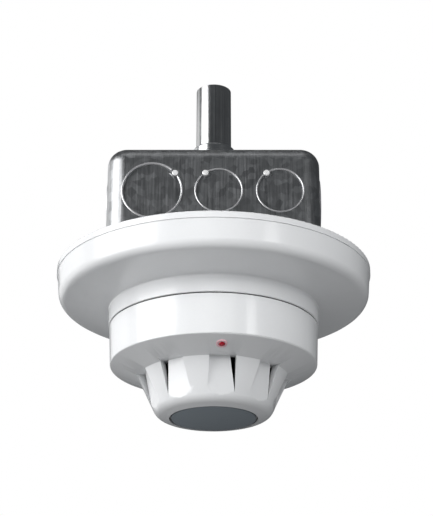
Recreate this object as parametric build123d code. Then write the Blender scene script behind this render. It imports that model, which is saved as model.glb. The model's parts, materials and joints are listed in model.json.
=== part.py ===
from build123d import *
from math import cos, radians, sin, sqrt, tan
import os

os.makedirs("parts", exist_ok=True)

# Pendant heat detector: a plug-in sensing head under a flanged base, on a steel outlet box
# that hangs from a stub of thin-wall conduit. Millimetres, +Z up, origin at the free top end
# of the conduit. Azimuths run from the front (-Y) towards the right (+X), in degrees.

# Conduit and its set-screw connector
conduit_drop = 56.0            # free end of the conduit to the back of the box
conduit_outer_r = 8.965
conduit_wall = 1.07
conduit_slip = 0.15            # radial play of the conduit in the connector
connector_wall = 1.65
connector_rise = 21.4          # mouth of the connector above the box
connector_collar_r = 13.2
connector_collar_height = 3.0
connector_stop = 3.4           # solid shoulder under the conduit's end
thread_r = 10.3
thread_length = 11.0
locknut_r = 14.2
locknut_thickness = 3.2
locknut_teeth = 8
screw_play = 0.15              # radial play of a screw's shank in its hole

# Outlet box
box_width = 101.6
box_depth = 54.0
box_wall = 1.6
box_corner_r = 9.5
box_back_r = 8.5
knockout_half_d = 22.2
knockout_three_quarter_d = 28.2
knockout_from_back = 24.5
knockout_offset = 0.6          # how far a half-sheared slug is pushed in
knockout_tie = 3.2             # width of the bridge that still holds a slug
side_knockouts = [
    (-29.0, knockout_three_quarter_d, 40),
    (2.5, knockout_half_d, 125),
    (31.5, knockout_half_d, 125),
]
back_knockout_reach = 29.0
back_hole_reach = 27.0
back_hole_r = 2.6
ground_x = 15.5
ground_y = 37.0
ground_boss_r = 6.2
ground_boss_depth = 4.0
ground_screw_r = 2.4
ground_head_r = 4.4
ground_head_height = 3.0
ground_screw_spare = 1.2
ear_inset = 8.3                # wall of the box to a cover screw, along X and along Y
ear_size = 13.0
ear_thickness = 2.4
cover_screw_r = 2.1
cover_head_r = 3.9
cover_head_height = 2.4
base_head_r = 3.7
head_clearance = 0.4
screw_spare = 4.0              # thread that stands past the last sheet

# Flat cover ring between the box and the base
ring_thickness = 1.6
ring_opening_r = 40.0
base_screw_reach = 44.45
base_screw_azimuths = [0, 180]

# Flanged base
rim_overlap = 7.0              # the base's rim stands this far up around the box
base_wall = 2.2
rim_clearance = 6.943          # box corner to the inside of the rim
flange_band = 3.3              # height of the plain band along the rim
flange_step = 0.45
flange_side_draft = 1.0
flange_height = 16.4
flange_round = 4.6
underside_drop = 3.8           # fall of the flange's underside towards the collar
collar_r = 51.4
collar_length = 8.6            # collar below the underside, down to the seam
wire_hole_r = 16.0
flange_rib_count = 12
flange_rib_thickness = 1.6
ledge_azimuths = [60, 180, 300]
ledge_gap = 0.5                # neck to the ledges
ledge_width = 20.0
ledge_thickness = 2.4
stop_width = 2.2
stop_play = 0.6                # lug to stop at rest, degrees

# Contacts
contact_azimuths = [45, 135, 225, 315]
blade_azimuths = [45, 135, 225]
contact_wall_gap = 8.0         # outer edge of the contacts to the collar's inside
contact_width = 4.2
contact_sheet = 0.8
contact_play = 0.2
contact_drop = 5.1             # deck to the top leaf of a clip
contact_back = 8.7             # closed end of a clip's fork, degrees past the blade's middle
terminal_offset = 17.0         # terminal screw, degrees past the blade's middle
terminal_width = 16.0
terminal_block_margin = 2.3
terminal_inset = 1.2
terminal_screw_r = 1.7
terminal_head_r = 3.3
terminal_head_height = 2.2
terminal_screw_grip = 3.8      # thread in the base
clamp_width = 7.0
clamp_thickness = 1.2
blade_width = 12.0
blade_leg_width = 6.0
blade_overhang = 2.5           # blades reach this far inside the clips

# Sensing head
seam_gap = 0.4
seam_step = 0.4
skirt_draft = 0.8
skirt_height = 19.3
head_wall = 2.0
foot_r = 36.3
annulus_drop = 5.7
cage_height = 17.1
cage_end_r = 28.3
cage_wall_top = 4.8
cage_wall_end = 2.7
nose_drop = 1.5
nose_round = 6.0
nose_wall = 1.8
dome_rise = 2.5
disc_r = 20.3
disc_groove = 1.0
disc_thickness = 1.6
disc_peg_r = 1.2
disc_peg_reach = 13.0
disc_pegs = 3
window_count = 9
window_phase = 7.0
window_width = 12.6
window_recess = 3.3            # depth of a window's back wall at its top
window_slot = 2.6              # width of the air slot at its top
mirror_rib = -13.0             # the slots face away from this rib
indicator_share = 0.532        # place of the lamps between the cage and the skirt
indicator_azimuths = {"front": 5.0, "rear": 185.0}
indicator_r = 1.5
bezel_r = 2.6
bezel_sleeve_r = 2.0
bezel_proud = 0.5
bezel_sleeve_length = 4.2
fit_gap = 0.1

# Backplate and electronics
neck_gap = 2.7                 # neck to the collar's inside
neck_height = 8.5              # neck above the cover's top edge
neck_wall = 2.0
lug_reach = 2.1
lug_thickness = 2.4
lug_width = 12.0
lug_play = 0.4
plate_sink = 2.0               # backplate's face below the neck's edge
backplate_flange_gap = 0.3
board_gap = 3.5                # board to the cover's inside
board_thickness = 1.6
board_below_seam = 6.2
post_azimuths = [95, 215, 335]
post_clearance = 1.5           # posts to the inside of the neck
post_r = 3.0
post_shoulder = 1.3
head_screw_r = 1.5
head_screw_length = 9.0
carrier_inset = 0.9
carrier_thickness = 1.6
carrier_post_gap = 0.25        # least gap between the carrier and the cover's posts
thermistor_reach = 10.0
thermistor_drop = 13.5         # bead below the carrier
bead_r = 1.2
bead_stretch = 1.35
lead_r = 0.25
lead_half_gap = 0.6
reference_drop = 5.0           # bead below the board
guide_r = 2.2
guide_bore_r = 1.3
guide_length = 6.0

# Reaches and radii that follow from the sizes above
ear_reach = box_width / 2 - ear_inset
corner_reach = (box_width / 2 - box_corner_r) * sqrt(2) + box_corner_r
flange_r = corner_reach + rim_clearance + base_wall + flange_step
collar_in_r = collar_r - base_wall
contact_reach = collar_in_r - contact_wall_gap
contact_r = contact_reach - contact_width
terminal_r = contact_reach - terminal_inset
blade_inner_r = contact_r - blade_overhang
neck_r = collar_in_r - neck_gap
skirt_r = collar_r - seam_step
skirt_low_r = skirt_r - skirt_draft
indicator_reach = foot_r + (skirt_low_r - foot_r) * indicator_share
board_r = skirt_r - head_wall - board_gap
post_reach = neck_r - neck_wall - post_r - post_clearance
carrier_r = foot_r - carrier_inset

# Heights that follow from the sizes above
box_back_z = -conduit_drop
box_edge_z = box_back_z - box_depth
rim_z = box_edge_z + rim_overlap
ring_low_z = box_edge_z - ring_thickness
deck_z = ring_low_z - base_wall
flange_low_z = rim_z - flange_height
underside_z = flange_low_z - underside_drop
seam_z = underside_z - collar_length
cover_top_z = seam_z - seam_gap
skirt_low_z = cover_top_z - skirt_height
foot_z = skirt_low_z - annulus_drop
cage_end_z = foot_z - cage_height
nose_z = cage_end_z - nose_drop
nose_r = foot_r - (foot_r - cage_end_r) * (cage_height + nose_drop) / cage_height
disc_edge_z = nose_z - (nose_r - disc_r - disc_groove) * tan(radians(14))
leaf_z = deck_z - contact_drop
blade_top_z = leaf_z - contact_sheet - contact_play
neck_top_z = cover_top_z + neck_height
plate_z = neck_top_z - plate_sink
board_z = cover_top_z - board_below_seam
ledge_z = neck_top_z - lug_thickness - lug_play
annulus_slope = annulus_drop / (skirt_low_r - foot_r)
shelf_z = foot_z + head_wall * sqrt(1 + annulus_slope**2)


def around(azimuth, shape):
    """Turn a shape that was made at the right (+X) so that it stands at the azimuth."""
    return Rot(0, 0, azimuth - 90) * shape


def sector(r_in, r_out, z_low, z_high, azimuth, width):
    section = Pos((r_in + r_out) / 2, (z_low + z_high) / 2) * Rectangle(r_out - r_in, z_high - z_low)
    return around(azimuth - width / 2, revolve(Plane.XZ * section, Axis.Z, width))


def turned(points, rounds=()):
    """Revolve a closed outline of (radius, height) points, with some corners rounded."""
    face = make_face(Polyline(*points, close=True))
    for index, radius in rounds:
        corner = face.vertices().sort_by_distance((*points[index], 0))[0]
        face = fillet(corner, radius)
    return revolve(Plane.XZ * face, Axis.Z)


def rod(radius, z_low, z_high, x=0, y=0):
    return Pos(x, y, (z_low + z_high) / 2) * Cylinder(radius, z_high - z_low)


def tube(r_out, r_in, z_low, z_high):
    return rod(r_out, z_low, z_high) - rod(r_in, z_low - 1, z_high + 1)


def slotted_screw(head_r, head_height, shank_r, length):
    """A screw that is driven upwards, with the underside of its head at the origin."""
    head = rod(head_r, -head_height, 0)
    head = fillet(head.faces().sort_by(Axis.Z)[0].edges(), head_height * 0.4)
    slot = Pos(0, 0, -head_height) * Box(2 * head_r + 1, head_r * 0.28, head_height)
    return head - slot + rod(shank_r, 0, length)


def save(name, shape):
    solids = shape.solids() if hasattr(shape, "solids") else shape
    if len(solids) == 1:
        shape = solids[0]
    else:
        shape = Compound(children=[Solid(solid.wrapped) for solid in solids])
    shape.label = name
    export_step(shape, os.path.join("parts", name + ".step"))


# Conduit and connector

def conduit():
    bottom_z = box_back_z + connector_stop
    shape = tube(conduit_outer_r, conduit_outer_r - conduit_wall, bottom_z, 0)
    return chamfer(shape.faces().sort_by(Axis.Z)[-1].edges().sort_by(SortBy.LENGTH)[:1], 0.3)


connector_r = conduit_outer_r + conduit_slip + connector_wall
boss_r = 4.2
boss_reach = connector_r + 3.2
boss_z = box_back_z + connector_rise * 0.62


def connector():
    mouth_z = box_back_z + connector_rise
    stop_z = box_back_z + connector_stop
    body = rod(connector_r, box_back_z, mouth_z)
    body = fillet(body.faces().sort_by(Axis.Z)[-1].edges(), 0.7)
    body += rod(connector_collar_r, box_back_z, box_back_z + connector_collar_height)
    body += rod(thread_r, box_back_z - thread_length, box_back_z)
    boss = Pos(boss_reach / 2, 0, boss_z) * Rot(0, 90, 0) * Cylinder(boss_r, boss_reach)
    body += around(180, boss)
    body -= rod(conduit_outer_r + conduit_slip, stop_z, mouth_z + 1)
    body -= rod(conduit_outer_r - conduit_wall - 0.3, box_back_z - thread_length - 1, stop_z + 1)
    hole = Pos(boss_reach, 0, boss_z) * Rot(0, 90, 0) * Cylinder(2.1 + screw_play, boss_reach * 1.2)
    return body - around(180, hole)


def connector_screw():
    head_x = boss_reach + 0.1
    length = head_x - conduit_outer_r
    screw = Rot(0, -90, 0) * slotted_screw(4.0, 3.0, 2.1, length)
    return around(180, Pos(head_x, 0, boss_z) * screw)


def locknut():
    top_z = box_back_z - box_wall
    nut = rod(locknut_r, top_z - locknut_thickness, top_z)
    for tooth in range(locknut_teeth):
        notch = Pos(locknut_r + 0.6, 0, top_z - locknut_thickness / 2) * Box(4, 4.4, 10)
        nut -= around(360 * tooth / locknut_teeth, notch)
    return nut - rod(thread_r + screw_play, top_z - 10, top_z + 1)


# Outlet box

def box_shell(inset):
    """The drawn box's outline, moved in by the inset from every wall and from the back."""
    width = box_width - 2 * inset
    height = box_depth - inset + (1 if inset else 0)
    outline = RectangleRounded(width, width, box_corner_r - inset)
    solid = Pos(0, 0, box_back_z - inset - height) * extrude(outline, height)
    return fillet(solid.faces().sort_by(Axis.Z)[-1].edges(), box_back_r - inset)


def knockout(diameter, tie_angle):
    """Recess and backing of a half-sheared slug, in a wall that faces +Z at the origin."""
    slug = Cylinder(diameter / 2, 2 * knockout_offset)
    tie = Rot(0, 0, tie_angle) * Pos(diameter / 2, 0, 0) * Box(4, knockout_tie, 4)
    backing = Pos(0, 0, -box_wall - knockout_offset / 2) * Cylinder(diameter / 2 - 0.25, knockout_offset)
    return slug - tie, backing


def square_corners(reach):
    return [(x, y) for x in (-reach, reach) for y in (-reach, reach)]


def outlet_box():
    box = box_shell(0) - box_shell(box_wall)
    side_z = box_back_z - knockout_from_back
    for side in range(4):
        for across, diameter, tie_angle in side_knockouts:
            wall = Plane((across, -box_width / 2, side_z), x_dir=(1, 0, 0), z_dir=(0, -1, 0))
            recess, backing = knockout(diameter, tie_angle)
            turn = Rot(0, 0, 90 * side)
            box = box + turn * (wall * backing) - turn * (wall * recess)
    for azimuth in range(0, 360, 90):
        recess, backing = knockout(knockout_half_d, 90)
        place = Pos(back_knockout_reach, 0, box_back_z)
        box = box + around(azimuth, place * backing) - around(azimuth, place * recess)
    back_low_z = box_back_z - box_wall - ground_boss_depth
    box += rod(ground_boss_r, back_low_z, box_back_z - box_wall / 2, ground_x, ground_y)
    pocket_r = ground_boss_r - box_wall
    box -= rod(pocket_r, back_low_z + box_wall, box_back_z + 1, ground_x, ground_y)
    box -= rod(ground_screw_r + screw_play, back_low_z - 1, box_back_z, ground_x, ground_y)
    box -= rod(knockout_half_d / 2, box_back_z - 10, box_back_z + 1)
    for x, y in square_corners(back_hole_reach):
        box -= rod(back_hole_r, box_back_z - 10, box_back_z + 1, x, y)
    for side in (-1, 1):
        corner = box_width / 2 - box_wall / 2
        middle = side * (corner - ear_size / 2)
        ear = Pos(middle, -middle, box_edge_z + ear_thickness / 2)
        ear = ear * Box(ear_size, ear_size, ear_thickness)
        box += ear & box_shell(box_wall / 2)
        hole_r = cover_screw_r + screw_play
        box -= rod(hole_r, box_edge_z - 1, box_edge_z + 10, side * ear_reach, -side * ear_reach)
    return box


def ground_screw():
    low_z = box_back_z - box_wall - ground_boss_depth
    length = ground_boss_depth + ground_screw_spare
    screw = slotted_screw(ground_head_r, ground_head_height, ground_screw_r, length)
    return Pos(ground_x, ground_y, low_z) * screw


def cover_ring():
    outline = RectangleRounded(box_width, box_width, box_corner_r)
    plate = Pos(0, 0, ring_low_z) * extrude(outline, ring_thickness)
    plate -= rod(ring_opening_r, ring_low_z - 1, box_edge_z + 1)
    hole = rod(cover_screw_r + screw_play, ring_low_z - 1, box_edge_z + 1)
    for azimuth in base_screw_azimuths:
        plate -= around(azimuth, Pos(base_screw_reach, 0, 0) * hole)
    for side in (-1, 1):
        plate -= Pos(side * ear_reach, -side * ear_reach, 0) * hole
    return plate


def cover_ring_screws():
    length = ring_thickness + ear_thickness + screw_spare
    screw = slotted_screw(cover_head_r, cover_head_height, cover_screw_r, length)
    return [Pos(side * ear_reach, -side * ear_reach, ring_low_z) * screw for side in (-1, 1)]


def base_screws():
    length = base_wall + ring_thickness + screw_spare
    screw = slotted_screw(base_head_r, cover_head_height, cover_screw_r, length)
    screw = Pos(base_screw_reach, 0, deck_z) * screw
    return [around(azimuth, screw) for azimuth in base_screw_azimuths]


# Flanged base

def mounting_base():
    low_r = flange_r - flange_step - flange_side_draft
    plate_top = underside_z + base_wall
    outline = [
        (flange_r, rim_z),
        (flange_r, rim_z - flange_band),
        (flange_r - flange_step, rim_z - flange_band),
        (low_r, flange_low_z),
        (collar_r, underside_z),
        (collar_r, seam_z),
        (collar_in_r, seam_z),
        (collar_in_r, deck_z),
        (wire_hole_r, deck_z),
        (wire_hole_r, ring_low_z),
        (collar_r, ring_low_z),
        (collar_r, plate_top),
        (low_r - base_wall, flange_low_z + base_wall),
        (flange_r - base_wall - flange_step, rim_z),
    ]
    rounds = [(0, 0.7), (3, flange_round), (4, 0.8), (5, 0.5), (12, flange_round - base_wall)]
    base = turned(outline, rounds)
    rib_high = ring_low_z - 3.0
    for rib in range(flange_rib_count):
        azimuth = 360 * rib / flange_rib_count
        low = underside_z + base_wall / 2
        length = low_r - collar_r - 0.4
        web = Pos(collar_r + length / 2 - 0.5, 0, (low + rib_high) / 2)
        web = web * Box(length, flange_rib_thickness, rib_high - low)
        trough = turned([
            (collar_r - 1, underside_z + base_wall / 2),
            (low_r - base_wall / 2, flange_low_z + base_wall / 2),
            (low_r - base_wall / 2, rib_high),
            (collar_r - 1, rib_high),
        ])
        base += around(azimuth, web) & trough
    ledge_r = neck_r + ledge_gap
    for azimuth in ledge_azimuths:
        low = ledge_z - ledge_thickness
        base += sector(ledge_r, collar_in_r + 1, low, ledge_z, azimuth, ledge_width)
        stop = azimuth + lug_width / 2 + stop_play + stop_width / 2
        base += sector(ledge_r, collar_in_r + 1, ledge_z - 0.5, neck_top_z + 0.3, stop, stop_width)
    screw_hole = rod(terminal_screw_r + screw_play, leaf_z - 1, deck_z - 0.4, terminal_r)
    block_reach = contact_reach + terminal_block_margin
    for azimuth in contact_azimuths:
        middle = azimuth + terminal_offset
        base += sector(contact_r - 1, block_reach, leaf_z, deck_z + 0.5, middle, terminal_width)
        base -= around(middle, screw_hole)
    head_low_z = ring_low_z - cover_head_height
    head_room = rod(cover_head_r + head_clearance, head_low_z - head_clearance, ring_low_z + 1)
    for side in (-1, 1):
        base -= Pos(side * ear_reach, -side * ear_reach, 0) * head_room
    base_hole = rod(cover_screw_r + head_clearance, deck_z - 1, ring_low_z + 1, base_screw_reach)
    for azimuth in base_screw_azimuths:
        base -= around(azimuth, base_hole)
    return base


# Contacts

def contact_clip(azimuth):
    fork_low_z = blade_top_z - contact_sheet - contact_play - contact_sheet
    start = azimuth - blade_width / 2 + 1
    end = azimuth + terminal_offset + terminal_width / 2
    back = azimuth + contact_back
    fork_top_z = fork_low_z + contact_sheet
    leaf_low_z = leaf_z - contact_sheet
    bend = 1.2
    clip = sector(contact_r, contact_reach + 1, leaf_low_z, leaf_z, (start + end) / 2, end - start)
    middle = (start + back) / 2
    clip += sector(contact_r, contact_reach, fork_low_z, fork_top_z, middle, back - start)
    clip += sector(contact_r, contact_reach, fork_low_z, leaf_z, back - bend / 2, bend)
    hole = rod(terminal_screw_r + screw_play, leaf_z - 5, leaf_z + 5, terminal_r)
    return clip - around(azimuth + terminal_offset, hole)


def terminal_clamps():
    z = leaf_z - contact_sheet - clamp_thickness / 2
    clamp = Pos(terminal_r, 0, z) * Box(clamp_width, clamp_width, clamp_thickness)
    clamp -= rod(terminal_screw_r + screw_play, z - 5, z + 5, terminal_r)
    return [around(azimuth + terminal_offset, clamp) for azimuth in contact_azimuths]


def terminal_screws():
    z = leaf_z - contact_sheet - clamp_thickness
    length = clamp_thickness + contact_sheet + terminal_screw_grip
    screw = slotted_screw(terminal_head_r, terminal_head_height, terminal_screw_r, length)
    screw = Pos(terminal_r, 0, z) * screw
    return [around(azimuth + terminal_offset, screw) for azimuth in contact_azimuths]


def contact_blade(azimuth):
    reach = contact_reach - contact_play
    low_z = blade_top_z - contact_sheet
    blade = sector(blade_inner_r, reach, low_z, blade_top_z, azimuth, blade_width)
    leg_low_z = board_z - board_thickness
    blade += sector(blade_inner_r, blade_inner_r + 1, leg_low_z, blade_top_z, azimuth, blade_leg_width)
    return blade


# Sensing head

def dome(radius, z):
    """Height under the nose's dome at a radius, for a dome whose edge at disc_r is at z."""
    sphere = (disc_r**2 + dome_rise**2) / (2 * dome_rise)
    return z - dome_rise + sphere - sqrt(sphere**2 - radius**2)


def dome_solid(radius, edge_z, top_z):
    """A plug of the given radius, flat at top_z and domed underneath."""
    tip, middle, edge = [(r, dome(r, edge_z)) for r in (0, radius / 2, radius)]
    arc = ThreePointArc(tip, middle, edge)
    sides = Polyline(edge, (radius, top_z), (0, top_z), tip)
    return revolve(Plane.XZ * make_face(arc + sides), Axis.Z)


def window_tools(azimuth):
    """The pocket and the tapered air slot of one window of the cage."""
    ceiling_z = foot_z + 0.9
    pocket_face = make_face(Polyline(
        (cage_end_r + 0.1, cage_end_z),
        (foot_r - window_recess, ceiling_z),
        (foot_r + 6, ceiling_z),
        (foot_r + 6, cage_end_z),
        close=True,
    ))
    pocket = extrude(Plane.XZ * pocket_face, window_width / 2, both=True)
    side = 1 if (azimuth - mirror_rib) % 360 <= 180 else -1
    edge = side * window_width / 2
    slot_face = make_face(Polyline(
        (edge, ceiling_z),
        (edge - side * window_slot, ceiling_z),
        (edge, cage_end_z + 1.8),
        close=True,
    ))
    slot_length = foot_r + 6 - 18
    slot = Pos(18, 0, 0) * extrude(Plane.YZ * slot_face, slot_length)
    return around(azimuth, pocket), around(azimuth, slot)


def head_cover():
    edge_r = disc_r + disc_groove
    floor_z = disc_edge_z + disc_thickness
    slope = sqrt(1 + annulus_slope**2)
    outline = [
        (skirt_r, cover_top_z),
        (skirt_low_r, skirt_low_z),
        (foot_r, foot_z),
        (nose_r, nose_z),
        (edge_r, disc_edge_z),
        (edge_r, floor_z),
        (0, floor_z),
        (0, floor_z + nose_wall),
        (edge_r - 1, floor_z + nose_wall),
        (cage_end_r - cage_wall_end, cage_end_z + 1.7),
        (foot_r - cage_wall_top, shelf_z),
        (foot_r, shelf_z),
        (skirt_low_r - head_wall, skirt_low_z + head_wall * slope - head_wall * annulus_slope),
        (skirt_r - head_wall, cover_top_z),
    ]
    cover = turned(outline, [(0, 0.4), (1, 0.8), (3, nose_round)])
    for window in range(window_count):
        pocket, slot = window_tools(window_phase + 360 * window / window_count)
        cover = cover - pocket - slot
    board_low_z = board_z - board_thickness
    plate_low_z = plate_z - head_wall
    post_inner_r = post_reach - post_r - post_shoulder - 0.5
    room = turned([
        (foot_r - 1, foot_z + head_wall / 2),
        (foot_r, foot_z + head_wall / 2),
        (skirt_low_r - head_wall / 2, skirt_low_z + head_wall / 2),
        (skirt_low_r - head_wall / 2, plate_low_z),
        (post_inner_r, plate_low_z),
        (post_inner_r, shelf_z),
        (foot_r - 1, shelf_z),
    ])
    for azimuth in post_azimuths:
        post = rod(post_r + post_shoulder, foot_z, board_low_z, post_reach)
        post += rod(post_r, board_low_z, plate_low_z, post_reach)
        post -= rod(head_screw_r + 0.05, plate_low_z - head_screw_length, plate_low_z + 1, post_reach)
        cover += around(azimuth, post) & room
    for azimuth in indicator_azimuths.values():
        cover -= around(azimuth, indicator_place() * Cylinder(bezel_sleeve_r + fit_gap, 20))
    for peg in range(disc_pegs):
        hole = rod(disc_peg_r + fit_gap, floor_z - 5, floor_z + 5, disc_peg_reach)
        cover -= around(60 + 360 * peg / disc_pegs, hole)
    return cover


def indicator_place():
    """Frame on the sloping underside, at +X, with +Z along the outward normal."""
    z = skirt_low_z - (skirt_low_r - indicator_reach) * annulus_slope
    tilt = 1 / sqrt(1 + annulus_slope**2)
    normal = (annulus_slope * tilt, 0, -tilt)
    return Location(Plane((indicator_reach, 0, z), x_dir=(0, 1, 0), z_dir=normal))


def nose_disc():
    back_z = disc_edge_z + disc_thickness
    disc = dome_solid(disc_r, disc_edge_z, back_z)
    for peg in range(disc_pegs):
        pin = rod(disc_peg_r, back_z - 0.5, back_z + nose_wall + 1.2, disc_peg_reach)
        disc += around(60 + 360 * peg / disc_pegs, pin)
    return disc


def indicator_bezel(azimuth):
    """Clear collar on the cover's underside, with its sleeve through the wall."""
    head = Pos(0, 0, bezel_proud / 2) * Cylinder(bezel_r, bezel_proud)
    head = fillet(head.faces().sort_by(Axis.Z)[-1].edges(), bezel_proud * 0.5)
    sleeve = Pos(0, 0, -bezel_sleeve_length / 2) * Cylinder(bezel_sleeve_r, bezel_sleeve_length)
    bore = Cylinder(indicator_r + fit_gap, 4 * bezel_sleeve_length)
    return around(azimuth, indicator_place() * (head + sleeve - bore))


def indicator_led(azimuth):
    """Round lamp with its dome through the bezel and its leads up to the board."""
    tip = bezel_proud + 0.9
    body = Pos(0, 0, (tip - indicator_r - 5) / 2) * Cylinder(indicator_r, tip - indicator_r + 5)
    body += Pos(0, 0, tip - indicator_r) * Sphere(indicator_r)
    body += Pos(0, 0, -5.4) * Cylinder(indicator_r + 0.4, 0.8)
    for side in (-1, 1):
        body += Pos(side * 0.9, 0, -15) * Cylinder(0.25, 20)
    above = Pos(indicator_reach, 0, board_z - board_thickness + 25) * Box(60, 20, 50)
    return around(azimuth, indicator_place() * body - above)


def head_backplate():
    plate_low_z = plate_z - head_wall
    flange_z = cover_top_z - backplate_flange_gap
    inner_r = neck_r - neck_wall
    rim_r = skirt_r - head_wall - 0.4
    outline = [
        (0, plate_z),
        (inner_r, plate_z),
        (inner_r, neck_top_z),
        (neck_r, neck_top_z),
        (neck_r, flange_z),
        (rim_r, flange_z),
        (rim_r, flange_z - head_wall),
        (inner_r, flange_z - head_wall),
        (inner_r, plate_low_z),
        (0, plate_low_z),
    ]
    plate = turned(outline)
    for azimuth in ledge_azimuths:
        lug_low_z = neck_top_z - lug_thickness
        plate += sector(neck_r - 1, neck_r + lug_reach, lug_low_z, neck_top_z, azimuth, lug_width)
    for azimuth in blade_azimuths:
        plate -= sector(blade_inner_r - 0.2, blade_inner_r + 1.2, plate_low_z - 1, plate_z + 1,
                        azimuth, blade_leg_width + 1)
    for azimuth in post_azimuths:
        sink = Pos(post_reach, 0, plate_z - 0.9) * Cone(head_screw_r, 3.1, 1.8)
        shaft = rod(head_screw_r + screw_play, plate_low_z - 1, plate_z + 1, post_reach)
        plate -= around(azimuth, sink + shaft)
    return plate


def head_screws():
    """Flat-head screws, flush in the backplate, that hold the cover's posts."""
    head = Pos(0, 0, -0.85) * Cone(head_screw_r, 2.9, 1.7)
    cross = Box(3.6, 0.8, 1.6) + Box(0.8, 3.6, 1.6)
    screw = head + rod(head_screw_r - 0.05, -head_screw_length, -0.5) - cross
    return [around(azimuth, Pos(post_reach, 0, plate_z - 0.1) * screw) for azimuth in post_azimuths]


def circuit_board():
    board_low_z = board_z - board_thickness
    board = rod(board_r, board_low_z, board_z)
    for azimuth in post_azimuths:
        board -= around(azimuth, rod(post_r + screw_play, board_low_z - 1, board_z + 1, post_reach))
    for azimuth in blade_azimuths:
        board -= sector(blade_inner_r - 0.1, blade_inner_r + 1.1, board_low_z - 1, board_z + 1,
                        azimuth, blade_leg_width + 0.4)
    return board


def thermistor_carrier():
    """Plastic disc over the cage that guides the thermistors and stands off the board."""
    carrier_top = shelf_z + carrier_thickness
    carrier = rod(carrier_r, shelf_z, carrier_top)
    for side in (-1, 1):
        carrier += rod(guide_r, shelf_z - guide_length, carrier_top, side * thermistor_reach)
        carrier -= rod(guide_bore_r, shelf_z - guide_length - 1, carrier_top + 1, side * thermistor_reach)
    notch = rod(post_r + post_shoulder + carrier_post_gap, shelf_z - 1, carrier_top + 1, post_reach)
    for azimuth in post_azimuths:
        carrier -= around(azimuth, notch)
        carrier += around(azimuth + 60, rod(2.0, shelf_z + 1, board_z - board_thickness, carrier_r - 4))
    return carrier


def thermistor(side):
    """Bead on two leads, from the board down through its guide into the cage."""
    bead_z = shelf_z - thermistor_drop
    return Pos(side * thermistor_reach, 0, 0) * bead_on_leads(bead_z)


def bead_on_leads(bead_z):
    bead = Pos(0, 0, bead_z) * scale(Sphere(bead_r), (1, 1, bead_stretch))
    for lead in (-1, 1):
        bead += rod(lead_r, bead_z, board_z - board_thickness, lead * lead_half_gap)
    return bead


def reference_thermistor():
    return Pos(20, 14, 0) * bead_on_leads(board_z - board_thickness - reference_drop)


def under_board(x, y, shape, height):
    """Hang a part's shape, centred at its own origin, under the circuit board."""
    return Pos(x, y, board_z - board_thickness - height / 2) * shape


def processor_chip():
    chip = Box(9.0, 9.0, 1.4)
    for turn in range(4):
        for pin in range(7):
            leg = Pos(5.0, (pin - 3) * 1.15, 0.35) * Box(1.2, 0.45, 0.7)
            chip += Rot(0, 0, 90 * turn) * leg
    return under_board(0, -18, chip, 1.4)


def filter_capacitor():
    can = Cylinder(4.0, 10.0)
    can = fillet(can.faces().sort_by(Axis.Z)[0].edges(), 0.8)
    return under_board(-20, 14, can, 10.0)


def surge_suppressor():
    return under_board(-22, -10, Box(7.0, 5.2, 2.6), 2.6)


def reed_switch():
    """Glass capsule of the magnetic test switch, on two bent legs."""
    capsule = Rot(0, 90, 0) * Cylinder(1.3, 13.0)
    capsule = fillet(capsule.edges().filter_by(GeomType.CIRCLE), 1.0)
    for side in (-1, 1):
        capsule += Pos(side * 8.0, 0, 0) * Rot(0, 90, 0) * Cylinder(0.35, 4.0)
        capsule += Pos(side * 9.8, 0, 1.4) * Cylinder(0.35, 3.4)
    return under_board(0, 22, capsule, 6.2)


save("conduit_pendant", conduit())
save("conduit_connector", connector())
save("connector_set_screw", connector_screw())
save("connector_locknut", locknut())
save("outlet_box", outlet_box())
save("ground_screw", ground_screw())
save("cover_ring", cover_ring())
save("cover_ring_screws", cover_ring_screws())
save("base_screws", base_screws())
save("mounting_base", mounting_base())
for number, azimuth in enumerate(contact_azimuths, 1):
    save(f"contact_clip_{number}", contact_clip(azimuth))
save("terminal_clamps", terminal_clamps())
save("terminal_screws", terminal_screws())
for number, azimuth in enumerate(blade_azimuths, 1):
    save(f"contact_blade_{number}", contact_blade(azimuth))
save("head_cover", head_cover())
save("nose_disc", nose_disc())
for place, azimuth in indicator_azimuths.items():
    save(f"indicator_bezel_{place}", indicator_bezel(azimuth))
    save(f"indicator_led_{place}", indicator_led(azimuth))
save("head_backplate", head_backplate())
save("head_screws", head_screws())
save("circuit_board", circuit_board())
save("thermistor_carrier", thermistor_carrier())
save("thermistor_left", thermistor(-1))
save("thermistor_right", thermistor(1))
save("reference_thermistor", reference_thermistor())
save("processor_chip", processor_chip())
save("filter_capacitor", filter_capacitor())
save("surge_suppressor", surge_suppressor())
save("reed_switch", reed_switch())
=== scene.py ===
import json
import math
import bmesh
import bpy
from mathutils import Matrix, Vector


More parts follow.
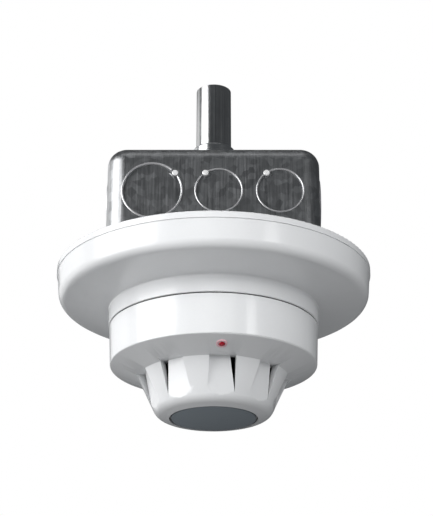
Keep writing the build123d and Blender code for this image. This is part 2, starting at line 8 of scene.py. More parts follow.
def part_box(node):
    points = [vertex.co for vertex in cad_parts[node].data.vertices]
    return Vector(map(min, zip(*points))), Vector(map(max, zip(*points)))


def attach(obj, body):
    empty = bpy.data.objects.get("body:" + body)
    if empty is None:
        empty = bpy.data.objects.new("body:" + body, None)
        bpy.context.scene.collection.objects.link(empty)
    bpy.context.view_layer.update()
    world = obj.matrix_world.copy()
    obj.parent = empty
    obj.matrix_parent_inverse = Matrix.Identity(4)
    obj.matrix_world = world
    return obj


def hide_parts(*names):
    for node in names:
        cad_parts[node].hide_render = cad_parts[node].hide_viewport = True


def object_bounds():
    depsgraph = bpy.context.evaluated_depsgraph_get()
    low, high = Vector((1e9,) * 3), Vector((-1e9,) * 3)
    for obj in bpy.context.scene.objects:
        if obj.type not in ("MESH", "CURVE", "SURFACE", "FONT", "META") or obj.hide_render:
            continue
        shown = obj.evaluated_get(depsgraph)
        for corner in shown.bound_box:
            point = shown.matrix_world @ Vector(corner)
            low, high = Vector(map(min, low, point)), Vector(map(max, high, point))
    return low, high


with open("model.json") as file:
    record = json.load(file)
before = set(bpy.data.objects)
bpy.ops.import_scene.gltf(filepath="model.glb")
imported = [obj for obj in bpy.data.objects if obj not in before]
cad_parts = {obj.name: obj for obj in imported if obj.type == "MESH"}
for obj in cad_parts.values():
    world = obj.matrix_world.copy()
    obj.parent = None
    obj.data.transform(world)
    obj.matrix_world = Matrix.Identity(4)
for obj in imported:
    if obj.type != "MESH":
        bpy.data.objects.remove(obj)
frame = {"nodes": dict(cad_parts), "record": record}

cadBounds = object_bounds()
cadNodes = frame["nodes"]
scene = bpy.context.scene
mm = 0.001

# Camera, light and stage
cameraPlan = {"elevation": -22.6, "distance": 0.716, "lens": 99.9, "aimX": 0.0014, "aboveRim": 0.009}
lightPlan = {
    "seenWhite": 1.0,
    "ambient": 0.15,
    "glossDark": 0.078,
    "keyPower": 9.5,
    "fillPower": 6.8,
    "rightPower": 2.0,
    "topPower": 0.5,
    "rimPower": 2.2,
    "glintPower": 0.35,
    "floorDrop": 0.9,
    "floorSize": 6.0,
    "floorSeen": 0.80,
}


def lookAt(obj, target):
    direction = Vector(target) - obj.location
    obj.rotation_euler = direction.to_track_quat("-Z", "Y").to_euler()


def makeCamera():
    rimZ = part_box("mounting_base")[1].z
    aim = Vector((cameraPlan["aimX"], 0, rimZ + cameraPlan["aboveRim"]))
    elevation = math.radians(cameraPlan["elevation"])
    camera = bpy.data.objects.new("camera", bpy.data.cameras.new("camera"))
    scene.collection.objects.link(camera)
    back = Vector((0, -math.cos(elevation), math.sin(elevation)))
    camera.location = aim + back * cameraPlan["distance"]
    camera.data.lens = cameraPlan["lens"]
    camera.data.clip_start = 0.01
    lookAt(camera, aim)
    scene.camera = camera
    return aim


def softLight(name, place, target, size, power, glossy=True):
    data = bpy.data.lights.new(name, "AREA")
    data.shape = "RECTANGLE"
    data.size = size[0]
    data.size_y = size[1]
    data.energy = power
    light = bpy.data.objects.new(name, data)
    scene.collection.objects.link(light)
    light.location = place
    lookAt(light, target)
    light.visible_glossy = glossy
    light.visible_camera = False


def makeWorld():
    world = bpy.data.worlds.new("studio")
    scene.world = world
    world.use_nodes = True
    tree = world.node_tree
    tree.nodes.clear()
    pathNode = tree.nodes.new("ShaderNodeLightPath")

    def background(colour, strength):
        node = tree.nodes.new("ShaderNodeBackground")
        node.inputs["Color"].default_value = (*colour, 1)
        node.inputs["Strength"].default_value = strength
        return node.outputs[0]

    def mixed(mask, first, second):
        node = tree.nodes.new("ShaderNodeMixShader")
        tree.links.new(pathNode.outputs[mask], node.inputs[0])
        tree.links.new(first, node.inputs[1])
        tree.links.new(second, node.inputs[2])
        return node.outputs[0]

    ambient = background((0.93, 0.96, 1), lightPlan["ambient"])
    dark = background((0.9, 0.95, 1), lightPlan["glossDark"])
    seen = background((1, 1, 1), lightPlan["seenWhite"])
    output = tree.nodes.new("ShaderNodeOutputWorld")
    surface = mixed("Is Camera Ray", mixed("Is Glossy Ray", ambient, dark), seen)
    tree.links.new(surface, output.inputs["Surface"])


aimPoint = makeCamera()
makeWorld()
softLight("leftSoftbox", (-0.9, -0.45, aimPoint.z + 0.15), aimPoint, (0.9, 1.0), lightPlan["keyPower"])
softLight("frontFill", (0.1, -1.1, aimPoint.z + 0.35), aimPoint, (0.8, 0.6), lightPlan["fillPower"], False)
softLight("rightFill", (0.95, -0.55, aimPoint.z - 0.1), aimPoint, (0.6, 0.8), lightPlan["rightPower"], False)
softLight("leftRim", (-0.75, 0.55, aimPoint.z + 0.1), aimPoint, (0.8, 1.0), lightPlan["rimPower"])
softLight("flangeGlint", (0.75, -0.90, aimPoint.z + 0.25), aimPoint, (0.22, 0.06), lightPlan["glintPower"])
softLight("topStrip", (0, -0.4, aimPoint.z + 0.95), aimPoint, (0.9, 0.25), lightPlan["topPower"])
scene.view_settings.view_transform = "Standard"
print("camera, light and world made")


# Shader groups, each an effect that several materials share
# One shader node group, with short ways to add nodes to it.
class GroupMaker:
    def __init__(self, name, inputs, outputs):
        self.tree = bpy.data.node_groups.new(name, "ShaderNodeTree")
        for label, value in inputs.items():
            socket = self.tree.interface.new_socket(label, in_out="INPUT", socket_type="NodeSocketFloat")
            socket.default_value = value
        for label in outputs:
            self.tree.interface.new_socket(label, in_out="OUTPUT", socket_type="NodeSocketFloat")
        self.source = self.tree.nodes.new("NodeGroupInput")
        self.sink = self.tree.nodes.new("NodeGroupOutput")

    def node(self, kind, settings=None, **sockets):
        made = self.tree.nodes.new(kind)
        for key, value in (settings or {}).items():
            setattr(made, key, value)
        for label, value in sockets.items():
            self.feed(made.inputs[label.replace("_", " ")], value)
        return made

    def feed(self, socket, value):
        if isinstance(value, str):
            value = self.source.outputs[value]
        if isinstance(value, bpy.types.NodeSocket):
            self.tree.links.new(value, socket)
        else:
            socket.default_value = value

    def maths(self, operation, first, second=0.5, clamp=False):
        made = self.tree.nodes.new("ShaderNodeMath")
        made.operation = operation
        made.use_clamp = clamp
        self.feed(made.inputs[0], first)
        self.feed(made.inputs[1], second)
        return made.outputs[0]

    def ramp(self, value, low, high):
        made = self.node("ShaderNodeMapRange", Value=value, From_Min=low, From_Max=high)
        return made.outputs["Result"]

    # Object coordinates, scaled apart across and along the vertical.
    def place(self, across, along):
        coordinates = self.node("ShaderNodeTexCoord").outputs["Object"]
        factors = self.node("ShaderNodeCombineXYZ", X=across, Y=across, Z=along).outputs[0]
        made = self.tree.nodes.new("ShaderNodeVectorMath")
        made.operation = "MULTIPLY"
        self.tree.links.new(coordinates, made.inputs[0])
        self.tree.links.new(factors, made.inputs[1])
        return made.outputs[0]

    def noise(self, vector, scale=1.0, detail=3.0):
        made = self.node("ShaderNodeTexNoise", Vector=vector, Scale=scale, Detail=detail)
        return made.outputs["Fac"]

    def give(self, **results):
        for label, value in results.items():
            self.feed(self.sink.inputs[label], value)
        return self.tree


def makeFineGrain():
    group = GroupMaker("fineGrain", {"Scale": 900.0}, ["Value", "Height"])
    where = group.place("Scale", "Scale")
    fine = group.noise(where)
    broad = group.noise(where, scale=0.04)
    mixed = group.maths("ADD", group.maths("MULTIPLY", fine, 0.6), group.maths("MULTIPLY", broad, 0.4))
    return group.give(Value=mixed, Height=fine)


def makeDrawnLines():
    group = GroupMaker("drawnLines", {"Across": 900.0, "Along": 20.0}, ["Value", "Height"])
    where = group.place("Across", "Along")
    lines = group.noise(where, detail=5.0)
    return group.give(Value=group.ramp(lines, 0.3, 0.7), Height=lines)


def makeZincSpangle():
    group = GroupMaker("zincSpangle", {"Cells": 260.0}, ["Shade", "Height"])
    where = group.place("Cells", "Cells")
    cells = group.node("ShaderNodeTexVoronoi", Vector=where, Scale=1.0)
    split = group.node("ShaderNodeSeparateColor", Color=cells.outputs["Color"])
    cloud = group.noise(where, scale=0.25)
    cellShare = group.maths("MULTIPLY", split.outputs[0], 0.5)
    shade = group.maths("ADD", cellShare, group.maths("MULTIPLY", cloud, 0.5))
    return group.give(Shade=shade, Height=cells.outputs["Distance"])


def makeDustFall():
    group = GroupMaker("dustFall", {"Amount": 0.3, "Scale": 60.0}, ["Mask"])
    normal = group.node("ShaderNodeNewGeometry").outputs["Normal"]
    up = group.node("ShaderNodeSeparateXYZ", Vector=normal).outputs["Z"]
    facing = group.ramp(up, 0.35, 0.95)
    patch = group.ramp(group.noise(group.place("Scale", "Scale"), detail=5.0), 0.35, 0.7)
    return group.give(Mask=group.maths("MULTIPLY", group.maths("MULTIPLY", facing, patch), "Amount", True))


def makeEdgeWear():
    group = GroupMaker("edgeWear", {"Reach": 0.0006, "Amount": 0.5, "Scale": 500.0}, ["Mask"])
    rounded = group.node("ShaderNodeBevel", {"samples": 4}, Radius="Reach").outputs["Normal"]
    normal = group.node("ShaderNodeNewGeometry").outputs["Normal"]
    dot = group.tree.nodes.new("ShaderNodeVectorMath")
    dot.operation = "DOT_PRODUCT"
    group.tree.links.new(rounded, dot.inputs[0])
    group.tree.links.new(normal, dot.inputs[1])
    edge = group.ramp(group.maths("SUBTRACT", 1.0, dot.outputs["Value"]), 0.02, 0.2)
    broken = group.ramp(group.noise(group.place("Scale", "Scale")), 0.35, 0.6)
    return group.give(Mask=group.maths("MULTIPLY", group.maths("MULTIPLY", edge, broken), "Amount", True))


def makeCopperTracks():
    group = GroupMaker("copperTracks", {"Scale": 260.0}, ["Mask"])
    where = group.place("Scale", 0.0)
    settings = {"distance": "MANHATTAN", "feature": "F1"}
    cells = group.node("ShaderNodeTexVoronoi", settings, Vector=where, Scale=1.0)
    wave = group.maths("PINGPONG", cells.outputs["Distance"], 0.2)
    return group.give(Mask=group.ramp(wave, 0.11, 0.14))


# Painted shade: colour goes towards near-black where ambient occlusion finds creases, grooves, slots and
# pocket corners that little light reaches.
def makeCreviceShade():
    group = GroupMaker("creviceShade", {"Reach": 0.0015, "Amount": 0.7}, ["Mask"])
    clear = group.node("ShaderNodeAmbientOcclusion", {"samples": 8}, Distance="Reach").outputs["AO"]
    shut = group.ramp(group.maths("SUBTRACT", 1.0, clear), 0.62, 0.88)
    return group.give(Mask=group.maths("MULTIPLY", shut, "Amount", True))


# The unlit inside of the cage: everything behind a cone that falls in towards the nose.
def makeChamberShade():
    inputs = {"Reach": 0.0326, "Slope": 0.27, "Top": -0.157, "End": -0.1733}
    group = GroupMaker("chamberShade", inputs, ["Mask"])
    x, y, z = group.node("ShaderNodeSeparateXYZ", Vector=group.place(1.0, 1.0)).outputs
    squares = group.maths("ADD", group.maths("MULTIPLY", x, x), group.maths("MULTIPLY", y, y))
    fall = group.maths("MULTIPLY", group.maths("SUBTRACT", z, "Top"), "Slope")
    depth = group.maths("SUBTRACT", group.maths("ADD", "Reach", fall), group.maths("SQRT", squares))
    above = group.maths("GREATER_THAN", z, "End")
    below = group.maths("LESS_THAN", z, "Top")
    deep = group.ramp(depth, 0.0, 0.0005)
    return group.give(Mask=group.maths("MULTIPLY", deep, group.maths("MULTIPLY", above, below), True))


shared = {
    "crevice": makeCreviceShade(),
    "chamber": makeChamberShade(),
    "grain": makeFineGrain(),
    "lines": makeDrawnLines(),
    "spangle": makeZincSpangle(),
    "dust": makeDustFall(),
    "wear": makeEdgeWear(),
    "tracks": makeCopperTracks(),
}
print("shader groups made:", len(shared))

# Materials: one look for each slot of the record, and a few for details
dustColour = (0.42, 0.40, 0.37)
dustRough = 0.4
bumpGain = 4
bumpDepth = 0.0002
# Near-black of the painted shade in crevices and in the unlit inside of the cage.
paintedShadeColour = (0.03, 0.03, 0.032)
looks = {
    "galvanised_sheet": {
        "colour": (0.62, 0.63, 0.64), "metallic": 1.0, "lineShade": 0.28, "rough": 0.27,
        "grain": (1400, 0.06, 0.02), "crevice": (1.2, 0.7), "lines": (1300, 45, 0.14, 0.05),
        "spangle": (330, 0.26), "dust": 0.35, "wear": (0.8, 0.6),
    },
    "conduit_zinc": {
        "colour": (0.72, 0.725, 0.73), "metallic": 1.0, "lineShade": 0.4, "rough": 0.13,
        "grain": (1200, 0.06, 0.02), "lines": (1500, 10, 0.10, 0.03),
        "spangle": (300, 0.10), "dust": 0.2, "wear": (0.85, 0.4),
    },
    "plated_steel": {
        "colour": (0.66, 0.67, 0.68), "metallic": 1.0, "rough": 0.22,
        "grain": (1500, 0.08, 0.02), "spangle": (500, 0.08), "dust": 0.25,
        "wear": (0.9, 0.5),
    },
    # Sheared steel edge of the knockouts: bare metal, with a colour lighter than steel that paints the
    # highlight along the edge.
    "shear_highlight": {
        "colour": (0.95, 0.95, 0.96), "metallic": 0.9, "rough": 0.36,
        "grain": (2200, 0.10, 0.03), "lines": (2500, 300, 0.10, 0.03),
    },
    # Pressed tie spot of the knockouts: its near-white colour is a painted highlight on the real low dome.
    "pressed_spot_highlight": {
        "colour": (0.95, 0.95, 0.95), "metallic": 0.35, "rough": 0.30,
        "grain": (2200, 0.10, 0.03),
    },
    "contact_metal": {
        "colour": (0.78, 0.62, 0.36), "metallic": 1.0, "rough": 0.26,
        "grain": (1600, 0.08, 0.02), "lines": (1800, 60, 0.08, 0.02), "wear": (0.9, 0.4),
    },
    "green_screw": {
        "colour": (0.04, 0.30, 0.11), "metallic": 0.75, "rough": 0.30,
        "grain": (1500, 0.08, 0.02), "dust": 0.3, "wear": (0.6, 0.8),
    },
    "white_plastic": {
        "colour": (0.85, 0.86, 0.87), "rough": 0.22, "coat": 0.3,
        "grain": (1100, 0.05, 0.003), "crevice": (8.0, 0.95), "dust": 0.3,
        "wear": (0.93, 0.25),
        "chamber": {"Reach": 0.0326, "Slope": 0.27, "Top": -0.157, "End": -0.1733},
    },
    "grey_plastic": {
        "colour": (0.235, 0.27, 0.30), "rough": 0.42, "grain": (2200, 0.10, 0.05),
        "crevice": (1.5, 0.95), "wear": (0.3, 0.3),
    },
    "black_plastic": {
        "colour": (0.012, 0.012, 0.014), "rough": 0.55, "grain": (1800, 0.10, 0.04),
        "dust": 0.1,
    },
    "clear_plastic": {
        "colour": (1.0, 0.62, 0.67), "rough": 0.08, "clear": 0.08, "coat": 0.4,
        "grain": (1500, 0.04, 0.01),
    },
    "red_lamp": {
        "colour": (0.60, 0.008, 0.03), "rough": 0.10, "clear": 0.35, "coat": 0.5,
        "grain": (1500, 0.04, 0.01),
    },
    "board_green": {
        "colour": (0.02, 0.17, 0.07), "rough": 0.32, "coat": 0.3,
        "grain": (1500, 0.08, 0.02), "tracks": (260, (0.05, 0.30, 0.13)),
    },
    "chip_black": {
        "colour": (0.02, 0.02, 0.024), "rough": 0.50, "grain": (3000, 0.12, 0.04),
    },
    "thermistor_epoxy": {
        "colour": (0.02, 0.02, 0.025), "rough": 0.18, "coat": 0.4,
        "grain": (1800, 0.06, 0.02),
    },
    "capacitor_can": {
        "colour": (0.68, 0.69, 0.71), "metallic": 1.0, "rough": 0.30,
        "grain": (1500, 0.08, 0.02), "lines": (40, 2200, 0.10, 0.02),
    },
    "capsule_glass": {
        "colour": (0.85, 0.93, 0.88), "rough": 0.04, "clear": 0.9,
        "grain": (900, 0.02, 0.005),
    },
    "floor_pale": {
        "colour": (0.62, 0.62, 0.62), "rough": 0.80, "grain": (120, 0.10, 0.01),
    },
}


def makeMaterial(name, look):
    material = bpy.data.materials.new(name)
    material.use_nodes = True
    tree = material.node_tree
    shader = tree.nodes["Principled BSDF"]
    shader.inputs["Metallic"].default_value = look.get("metallic", 0.0)
    shader.inputs["Coat Weight"].default_value = look.get("coat", 0.0)
    shader.inputs["Coat Roughness"].default_value = 0.12
    shader.inputs["Transmission Weight"].default_value = look.get("clear", 0.0)

    def effect(kind, **values):
        node = tree.nodes.new("ShaderNodeGroup")
        node.node_tree = shared[kind]
        for label, value in values.items():
            node.inputs[label].default_value = value
        return node.outputs

    def maths(operation, first, second):
        node = tree.nodes.new("ShaderNodeMath")
        node.operation = operation
        tree.links.new(first, node.inputs[0])
        if isinstance(second, float):
            node.inputs[1].default_value = second
        else:
            tree.links.new(second, node.inputs[1])
        return node.outputs[0]

    def blended(mask, first, second):
        node = tree.nodes.new("ShaderNodeMix")
        node.data_type = "RGBA"
        tree.links.new(mask, node.inputs["Factor"])
        for socket, value in ((node.inputs[6], first), (node.inputs[7], second)):
            if isinstance(value, tuple):
                socket.default_value = (*value, 1)
            else:
                tree.links.new(value, socket)
        return node.outputs[2]

    def multiplied(colour, value, amount):
        node = tree.nodes.new("ShaderNodeMix")
        node.data_type = "RGBA"
        node.blend_type = "MULTIPLY"
        node.inputs["Factor"].default_value = amount
        tree.links.new(colour, node.inputs[6])
        tree.links.new(value, node.inputs[7])
        return node.outputs[2]

    base = look["colour"]
    scale, roughAmount, bumpAmount = look["grain"]
    grain = effect("grain", Scale=float(scale))
    darker = tuple(c * 0.97 for c in base)
    lighter = tuple(min(c * 1.03, 1.0) for c in base)
    shade = blended(grain["Value"], darker, lighter)
    rough = maths("MULTIPLY", grain["Value"], float(roughAmount))
    heights = [(grain["Height"], bumpAmount)]
    if "spangle" in look:
        cells, contrast = look["spangle"]
        spangle = effect("spangle", Cells=float(cells))
        darker = tuple(c * (1 - contrast) for c in base)
        lighter = tuple(min(c * (1 + contrast), 1.0) for c in base)
        shade = blended(spangle["Shade"], darker, lighter)
        rough = maths("ADD", rough, maths("MULTIPLY", spangle["Shade"], float(contrast * 0.5)))
    if "lines" in look:
        across, along, roughLines, bumpLines = look["lines"]
        lines = effect("lines", Across=float(across), Along=float(along))
        rough = maths("ADD", rough, maths("MULTIPLY", lines["Value"], float(roughLines)))
        shade = multiplied(shade, lines["Value"], look.get("lineShade", 0.0))
        heights.append((lines["Height"], bumpLines))
    if "tracks" in look:
        trackScale, trackColour = look["tracks"]
        shade = blended(effect("tracks", Scale=float(trackScale))["Mask"], shade, trackColour)
    # Painted shade: near-black where creases, grooves and slots take little light.
    if "crevice" in look:
        reach, amount = look["crevice"]
        shade = blended(effect("crevice", Reach=reach * mm, Amount=amount)["Mask"], shade, paintedShadeColour)
    if "wear" in look:
        tone, amount = look["wear"]
        shade = blended(effect("wear", Amount=float(amount))["Mask"], shade, (tone, tone, tone))
    if "chamber" in look:
        shade = blended(effect("chamber", **look["chamber"])["Mask"], shade, paintedShadeColour)
    if "dust" in look:
        dust = effect("dust", Amount=float(look["dust"]))["Mask"]
        shade = blended(dust, shade, dustColour)
        rough = maths("ADD", rough, maths("MULTIPLY", dust, dustRough))
    tree.links.new(shade, shader.inputs["Base Color"])
    tree.links.new(maths("ADD", rough, look["rough"] - roughAmount / 2), shader.inputs["Roughness"])
    normal = None
    for height, strength in heights:
        bump = tree.nodes.new("ShaderNodeBump")
        bump.inputs["Strength"].default_value = strength * bumpGain
        bump.inputs["Distance"].default_value = bumpDepth
        tree.links.new(height, bump.inputs["Height"])
        if normal:
            tree.links.new(normal, bump.inputs["Normal"])
        normal = bump.outputs["Normal"]
    tree.links.new(normal, shader.inputs["Normal"])
    return material


materials = {name: makeMaterial(name, look) for name, look in looks.items()}
slotOf = {part["node"]: part["material_slot"] for part in frame["record"]["subparts"]}
for name, obj in cadNodes.items():
    obj.data.materials.clear()
    obj.data.materials.append(materials[slotOf[name]])
print("materials made:", len(materials))

bodyOf = {node: body for body, nodes in frame["record"]["behaviour"]["bodies"].items() for node in nodes}


def finishPiece(obj, body, replaced=None):
    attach(obj, body)
    if replaced:
        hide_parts(replaced)


# Moulded and pressed pieces, with the small rounds that real edges have. Widths in mm.
softEdges = {
    "head_cover": {"width": 0.40, "segments": 3},
    "mounting_base": {"width": 0.30, "segments": 3},
    "nose_disc": {"width": 0.35, "segments": 3},
    "outlet_box": {"width": 0.22, "segments": 2},
    "cover_ring": {"width": 0.25, "segments": 2},
    "conduit_connector": {"width": 0.30, "segments": 2},
    "connector_locknut": {"width": 0.30, "segments": 2},
    "connector_set_screw": {"width": 0.20, "segments": 2},
    "ground_screw": {"width": 0.20, "segments": 2},
    "conduit_pendant": {"width": 0.15, "segments": 2},
    "head_backplate": {"width": 0.25, "segments": 2},
    "circuit_board": {"width": 0.10, "segments": 1},
}


mergeReach = 0.00001
flatAngle = math.radians(0.5)
edgeAngle = math.radians(32)


def softened(node, plan):
    mesh = cadNodes[node].data.copy()
    work = bmesh.new()
    work.from_mesh(mesh)
    bmesh.ops.remove_doubles(work, verts=work.verts, dist=mergeReach)
    bmesh.ops.dissolve_limit(work, angle_limit=flatAngle, verts=work.verts, edges=work.edges)
    work.to_mesh(mesh)
    work.free()
    if "custom_normal" in mesh.attributes:
        mesh.attributes.remove(mesh.attributes["custom_normal"])
    mesh.shade_smooth()
    obj = bpy.data.objects.new(node + "Soft", mesh)
    scene.collection.objects.link(obj)
    bevel = obj.modifiers.new("soft", "BEVEL")
    bevel.width = plan["width"] * mm
    bevel.segments = plan["segments"]
    bevel.limit_method = "ANGLE"
    bevel.angle_limit = edgeAngle
    bevel.use_clamp_overlap = True
    obj.modifiers.new("normals", "WEIGHTED_NORMAL")
    finishPiece(obj, bodyOf[node], node)


for node, plan in softEdges.items():
    softened(node, plan)
print("soft-edged pieces made:", len(softEdges))


# Geometry groups for what repeats or follows a rule
def geometryGroup(name, inputs):
    tree = bpy.data.node_groups.new(name, "GeometryNodeTree")
    tree.interface.new_socket("Geometry", in_out="INPUT", socket_type="NodeSocketGeometry")
    for label, kind in inputs.items():
        tree.interface.new_socket(label, in_out="INPUT", socket_type="NodeSocket" + kind)
    tree.interface.new_socket("Geometry", in_out="OUTPUT", socket_type="NodeSocketGeometry")
    return tree, tree.nodes.new("NodeGroupInput"), tree.nodes.new("NodeGroupOutput")


def endGroup(tree, source, sink, geometry):
    realize = tree.nodes.new("GeometryNodeRealizeInstances")
    smooth = tree.nodes.new("GeometryNodeSetShadeSmooth")
    material = tree.nodes.new("GeometryNodeSetMaterial")
    tree.links.new(geometry, realize.inputs["Geometry"])
    tree.links.new(realize.outputs["Geometry"], smooth.inputs["Geometry"])
    tree.links.new(smooth.outputs["Geometry"], material.inputs["Geometry"])
    tree.links.new(source.outputs["Material"], material.inputs["Material"])
    tree.links.new(material.outputs["Geometry"], sink.inputs["Geometry"])


def grow(name, mesh, group, values, body):
    obj = bpy.data.objects.new(name, mesh)
    scene.collection.objects.link(obj)
    modifier = obj.modifiers.new("grow", "NODES")
    modifier.node_group = group
    for item in group.interface.items_tree:
        if item.in_out == "INPUT" and item.name in values:
            modifier[item.identifier] = values[item.name]
    bpy.context.view_layer.update()
    evaluated = obj.evaluated_get(bpy.context.evaluated_depsgraph_get())
    grown = bpy.data.meshes.new_from_object(evaluated)
    obj.modifiers.clear()
    obj.data = grown
    work = bmesh.new()
    work.from_mesh(grown)
    bmesh.ops.recalc_face_normals(work, faces=work.faces)
    work.to_mesh(grown)
    work.free()
    finishPiece(obj, body)


# A mesh of loose points, each with a turn (Euler) and a size for what stands on it.
def placedPoints(name, rows):
    mesh = bpy.data.meshes.new(name)
    mesh.from_pydata([row[0] for row in rows], [], [])
    mesh.attributes.new("turn", "FLOAT_VECTOR", "POINT")
    mesh.attributes.new("size", "FLOAT", "POINT")
    for index, row in enumerate(rows):
        mesh.attributes["turn"].data[index].vector = row[1]
        mesh.attributes["size"].data[index].value = row[2]
    return mesh


def standOnPoints(tree, source, instance):
    stand = tree.nodes.new("GeometryNodeInstanceOnPoints")
    for label, kind, socket in (("turn", "FLOAT_VECTOR", "Rotation"), ("size", "FLOAT", "Scale")):
        named = tree.nodes.new("GeometryNodeInputNamedAttribute")
        named.data_type = kind
        named.inputs["Name"].default_value = label
        tree.links.new(named.outputs["Attribute"], stand.inputs[socket])
    tree.links.new(source.outputs["Geometry"], stand.inputs["Points"])
    tree.links.new(instance, stand.inputs["Instance"])
    return stand.outputs["Instances"]


# An open ring of unit radius on every point: the sheared edge round a slug, but not at its tie.
def makeShearRing():
    inputs = {"Gap": "Float", "Thickness": "Float", "Material": "Material"}
    tree, source, sink = geometryGroup("shearRing", inputs)
    sweep = tree.nodes.new("ShaderNodeMath")
    sweep.operation = "SUBTRACT"
    sweep.inputs[0].default_value = 2 * math.pi
    tree.links.new(source.outputs["Gap"], sweep.inputs[1])
    start = tree.nodes.new("ShaderNodeMath")
    start.operation = "MULTIPLY"
    start.inputs[1].default_value = 0.5
    tree.links.new(source.outputs["Gap"], start.inputs[0])
    arc = tree.nodes.new("GeometryNodeCurveArc")
    arc.inputs["Resolution"].default_value = 72
    arc.inputs["Radius"].default_value = 1.0
    tree.links.new(start.outputs[0], arc.inputs["Start Angle"])
    tree.links.new(sweep.outputs[0], arc.inputs["Sweep Angle"])
    profile = tree.nodes.new("GeometryNodeCurvePrimitiveCircle")
    profile.inputs["Resolution"].default_value = 10
    tree.links.new(source.outputs["Thickness"], profile.inputs["Radius"])
    sweepMesh = tree.nodes.new("GeometryNodeCurveToMesh")
    sweepMesh.inputs["Fill Caps"].default_value = True
    tree.links.new(arc.outputs["Curve"], sweepMesh.inputs["Curve"])
    tree.links.new(profile.outputs["Curve"], sweepMesh.inputs["Profile Curve"])
    endGroup(tree, source, sink, standOnPoints(tree, source, sweepMesh.outputs["Mesh"]))
    return tree


# A low dome on every point: the pressed spot where a slug still hangs on.
def makeTieDome():
    tree, source, sink = geometryGroup("tieDome", {"Height": "Float", "Material": "Material"})
    ball = tree.nodes.new("GeometryNodeMeshUVSphere")
    ball.inputs["Segments"].default_value = 28
    ball.inputs["Rings"].default_value = 16
    ball.inputs["Radius"].default_value = 1.0
    squash = tree.nodes.new("GeometryNodeTransform")
    scaling = tree.nodes.new("ShaderNodeCombineXYZ")
    scaling.inputs["X"].default_value = 1.0
    scaling.inputs["Y"].default_value = 1.0
    tree.links.new(source.outputs["Height"], scaling.inputs["Z"])
    tree.links.new(ball.outputs["Mesh"], squash.inputs["Geometry"])
    tree.links.new(scaling.outputs[0], squash.inputs["Scale"])
    endGroup(tree, source, sink, standOnPoints(tree, source, squash.outputs["Geometry"]))
    return tree


# A helical ridge that climbs from every point.
def makeScrewThread():
    inputs = {label: "Float" for label in ("Radius", "Length", "Turns", "Ridge")}
    inputs["Material"] = "Material"
    tree, source, sink = geometryGroup("screwThread", inputs)
    spiral = tree.nodes.new("GeometryNodeCurveSpiral")
    spiral.inputs["Resolution"].default_value = 40
    tree.links.new(source.outputs["Turns"], spiral.inputs["Rotations"])
    tree.links.new(source.outputs["Radius"], spiral.inputs["Start Radius"])
    tree.links.new(source.outputs["Radius"], spiral.inputs["End Radius"])
    tree.links.new(source.outputs["Length"], spiral.inputs["Height"])
    profile = tree.nodes.new("GeometryNodeCurvePrimitiveCircle")
    profile.inputs["Resolution"].default_value = 6
    tree.links.new(source.outputs["Ridge"], profile.inputs["Radius"])
    ridge = tree.nodes.new("GeometryNodeCurveToMesh")
    ridge.inputs["Fill Caps"].default_value = True
    tree.links.new(spiral.outputs["Curve"], ridge.inputs["Curve"])
    tree.links.new(profile.outputs["Curve"], ridge.inputs["Profile Curve"])
    endGroup(tree, source, sink, standOnPoints(tree, source, ridge.outputs["Mesh"]))
    return tree


# Sheared edges and ties of the outlet box's knockouts, in light colours that paint their highlights.
# Millimetres and degrees.
knockoutPlan = {
    "fromBack": 24.5,
    "sides": [(-29.0, 28.2, 40), (2.5, 22.2, 125), (31.5, 22.2, 125)],
    "backReach": 29.0,
    "backDiameter": 22.2,
    "edgeSunk": 0.12,
    "edgeThickness": 0.038,
    "tieGap": 17.0,
    "tieRadius": 1.5,
    "tieHeight": 0.28,
}


def turned(x, y, z, angle):
    cos, sin = math.cos(angle), math.sin(angle)
    return (x * cos - y * sin, x * sin + y * cos, z)


def knockoutRows():
    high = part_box("outlet_box")[1]
    half = high.x / mm
    z = high.z / mm - knockoutPlan["fromBack"]
    edges = []
    ties = []
    for side in range(4):
        turn = math.radians(90 * side)
        for across, diameter, tie in knockoutPlan["sides"]:
            for rows, sunk, reach, size in (
                (edges, knockoutPlan["edgeSunk"], 0.0, diameter / 2),
                (ties, 0.0, diameter / 2, knockoutPlan["tieRadius"]),
            ):
                x = across + reach * math.cos(math.radians(tie))
                up = z + reach * math.sin(math.radians(tie))
                y = -half + sunk
                spin = wallTurn(turn, tie if rows is edges else 0)
                place = turned(x, y, up, turn)
                rows.append(([value * mm for value in place], spin, size * mm))
    reach = knockoutPlan["backReach"] * mm
    radius = knockoutPlan["backDiameter"] / 2 * mm
    level = high.z - knockoutPlan["edgeSunk"] * mm
    for side in range(4):
        turn = math.radians(90 * side)
        edges.append((turned(reach, 0, level, turn), (0, 0, turn + math.radians(90)), radius))
    return edges, ties


# Euler angles that lay an upright ring against a side wall, its gap at the tie.
def wallTurn(turn, tie):
    upright = Vector((0, 0, 1)).rotation_difference(Vector((0, -1, 0))).to_matrix().to_4x4()
    spun = upright @ Matrix.Rotation(math.radians(tie), 4, "Z")
    return tuple((Matrix.Rotation(turn, 4, "Z") @ spun).to_euler())


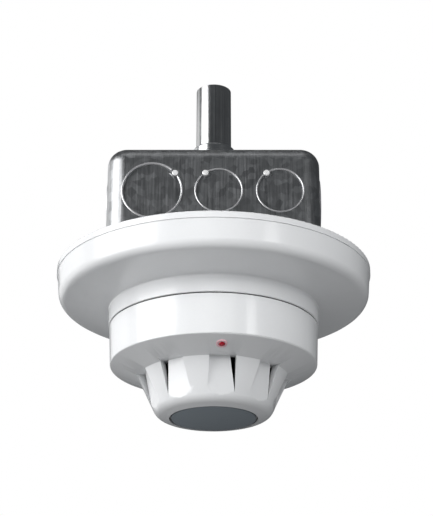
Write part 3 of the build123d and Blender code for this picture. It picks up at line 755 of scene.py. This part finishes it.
edgeRows, tieRows = knockoutRows()
grow("knockoutEdges", placedPoints("knockoutEdges", edgeRows), makeShearRing(),
     {"Gap": math.radians(knockoutPlan["tieGap"]), "Thickness": knockoutPlan["edgeThickness"],
      "Material": materials["shear_highlight"]}, "fixture")
grow("knockoutTies", placedPoints("knockoutTies", tieRows), makeTieDome(),
     {"Height": knockoutPlan["tieHeight"], "Material": materials["pressed_spot_highlight"]},
     "fixture")
print("knockout edges and ties made:", len(edgeRows), len(tieRows))

# Thread of the connector inside the box. Millimetres.
threadPlan = {"radius": 10.25, "length": 10.0, "turns": 6.0, "ridge": 0.5, "drop": 11.0}
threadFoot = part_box("outlet_box")[1].z - threadPlan["drop"] * mm
threadRow = [((0, 0, threadFoot), (0, 0, 0), 1.0)]
grow("connectorThread", placedPoints("connectorThread", threadRow), makeScrewThread(),
     {"Radius": threadPlan["radius"] * mm, "Length": threadPlan["length"] * mm, "Turns": threadPlan["turns"],
      "Ridge": threadPlan["ridge"] * mm, "Material": materials["plated_steel"]}, "fixture")
print("connector thread made")


# Floor, well below the hanging unit, that looks pale without throwing its light back up
def paleToCamera(material):
    tree = material.node_tree
    shader = tree.nodes["Principled BSDF"]
    output = tree.nodes["Material Output"]
    pale = tree.nodes.new("ShaderNodeEmission")
    pale.inputs["Strength"].default_value = lightPlan["floorSeen"]
    pathNode = tree.nodes.new("ShaderNodeLightPath")
    mix = tree.nodes.new("ShaderNodeMixShader")
    tree.links.new(pathNode.outputs["Is Camera Ray"], mix.inputs[0])
    tree.links.new(shader.outputs[0], mix.inputs[1])
    tree.links.new(pale.outputs[0], mix.inputs[2])
    tree.links.new(mix.outputs[0], output.inputs["Surface"])


paleToCamera(materials["floor_pale"])
floorMesh = bpy.data.meshes.new("floor")
half = lightPlan["floorSize"] / 2
level = cadBounds[0][2] - lightPlan["floorDrop"]
corners = [(-half, -half, level), (half, -half, level), (half, half, level), (-half, half, level)]
floorMesh.from_pydata(corners, [], [(0, 1, 2, 3)])
floorMesh.materials.append(materials["floor_pale"])
floor = bpy.data.objects.new("floor", floorMesh)
scene.collection.objects.link(floor)
print("floor made")
